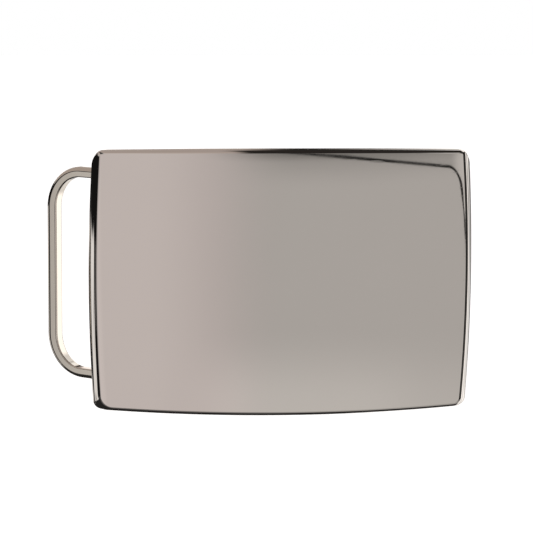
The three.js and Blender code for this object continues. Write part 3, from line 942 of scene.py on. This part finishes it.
def past_card(sky):
    """Degrees past the front card's outline, which has a round corner at the top right."""
    round_by = 1.85
    past_side = sky.calc(
        "ADD", sky.calc("MULTIPLY_ADD", sky.elevation, 0.176, sky.azimuth), round_by - 36.87)
    sloping = sky.overlap(sky.azimuth, sky.calc("MULTIPLY_ADD", sky.azimuth, 0.001, 0.0575))
    past_top = sky.calc("ADD", sky.calc("ADD", sloping, sky.elevation), round_by - 7.0)
    squares = [sky.calc("POWER", sky.calc("MAXIMUM", past, 0.0), 2.0) for past in (past_side, past_top)]
    corner = sky.calc("SQRT", sky.calc("ADD", *squares))
    inner = sky.calc("MINIMUM", sky.calc("MAXIMUM", past_side, past_top), 0.0)
    return sky.calc("SUBTRACT", sky.calc("ADD", corner, inner), round_by)


def light_front(sky):
    """Grey zone, the large card that the face mirrors, a light line at its left end and its dark seam."""
    low, right = sky.elevation, sky.azimuth
    zone = sky.calc("ADD", sky.rise(low, 6.2, 4.4, 0.3, 0.46), sky.rise(right, 34.5, 36.8, 0, 0.22))
    sky.paint(zone, sky.up(-29, 7.2, 0.4), sky.across(-27.6, 38.4, 0.2))
    foot = sky.overlap(
        sky.rise(low, -14, -24, 0, 0.14), sky.rise(right, -16, -2), sky.rise(right, 18, 36, 1, 0.6))
    card = sky.calc("ADD", sky.rise(right, 4, -20, 0.58, 0.76), foot)
    shade = sky.overlap(sky.rise(low, 2, 8, 0, 0.2), sky.rise(right, -8, 8))
    top_shade = sky.overlap(sky.rise(low, 5.4, 6.8, 0, 0.22), sky.rise(right, -12, 4))
    card = sky.calc("SUBTRACT", sky.calc("SUBTRACT", card, shade), top_shade)
    past = past_card(sky)
    sky.paint(card, sky.rise(past, 0.03, -0.03), sky.rise(right, -27.7, -27.4), sky.up(-29, 20, 0.6))
    sky.paint(0.83, sky.across(-28.6, -27.3, 0.4), sky.up(-28, 9, 0.6))
    sky.paint(0.0, sky.band(past, -0.17, 0.17, 0.03), sky.across(5, 60, 2), sky.rise(low, -26, -24))


def light_colour(sky):
    """Slightly rosy card at the left of the front and a brownish ceiling."""
    rosy = sky.overlap(sky.across(-40, -2, 8), sky.up(-35, 20, 3))
    colour = tint(sky.tree, rosy, (1, 1, 1), (1, 0.95, 0.962))
    ceiling = sky.overlap(sky.rise(sky.elevation, 8, 14), sky.outside(sky.across(98, 170, 3)))
    mixed = node(sky.tree, "ShaderNodeMix", {0: ceiling, 6: colour}, data_type="RGBA")
    mixed.inputs[7].default_value = (1, 0.89, 0.84, 1)
    return mixed.outputs[2]


def studio_light():
    """Soft boxes and dark flags round the object; the camera itself sees plain white."""
    sky = Studio(0.5)
    light_below(sky)
    light_overhead(sky)
    light_right_and_back(sky)
    light_sides(sky)
    light_front(sky)
    lit = node(sky.tree, "ShaderNodeBackground", {"Strength": sky.light, "Color": light_colour(sky)})
    clear = node(sky.tree, "ShaderNodeBackground", {"Strength": 1.0, "Color": (1, 1, 1, 1)})
    seen = node(sky.tree, "ShaderNodeLightPath").outputs["Is Camera Ray"]
    mixed = node(sky.tree, "ShaderNodeMixShader", {0: seen, 1: lit.outputs[0], 2: clear.outputs[0]})
    node(sky.tree, "ShaderNodeOutputWorld", {0: mixed.outputs[0]})


def floor():
    points = [(x * FLOOR_HALF, y * FLOOR_HALF, FLOOR_Z) for x, y in ((-1, -1), (1, -1), (1, 1), (-1, 1))]
    made = raw_object("floor", points, [(0, 1, 2, 3)])
    paint = bpy.data.materials.new("floor_paint")
    paint.use_nodes = True
    shader = paint.node_tree.nodes["Principled BSDF"]
    shader.inputs["Base Color"].default_value = (0.9, 0.9, 0.9, 1)
    shader.inputs["Roughness"].default_value = 0.9
    shader.inputs["Emission Color"].default_value = (1, 1, 1, 1)
    shader.inputs["Emission Strength"].default_value = 0.8
    made.data.materials.append(paint)
    made.visible_glossy = False


def camera():
    data = bpy.data.cameras.new("camera")
    data.lens = CAMERA_LENS
    data.sensor_width = 36
    data.clip_start = 0.01
    data.clip_end = 20
    made = bpy.data.objects.new("camera", data)
    bpy.context.scene.collection.objects.link(made)
    a, e = CAMERA_AZIMUTH, CAMERA_ELEVATION
    back = Vector((math.sin(a) * math.cos(e), -math.cos(a) * math.cos(e), math.sin(e)))
    right = Vector((math.cos(a), math.sin(a), 0))
    up = back.cross(right)
    place = back * CAMERA_DISTANCE
    aim = right * AIM_ACROSS + up * AIM_UP
    turn = (aim - place).to_track_quat("-Z", "Y").to_matrix().to_4x4()
    made.matrix_world = Matrix.Translation(place * MM) @ turn @ Matrix.Rotation(CAMERA_ROLL, 4, "Z")
    bpy.context.scene.camera = made


studio_light()
floor()
camera()
bpy.context.scene.view_settings.view_transform = "Standard"
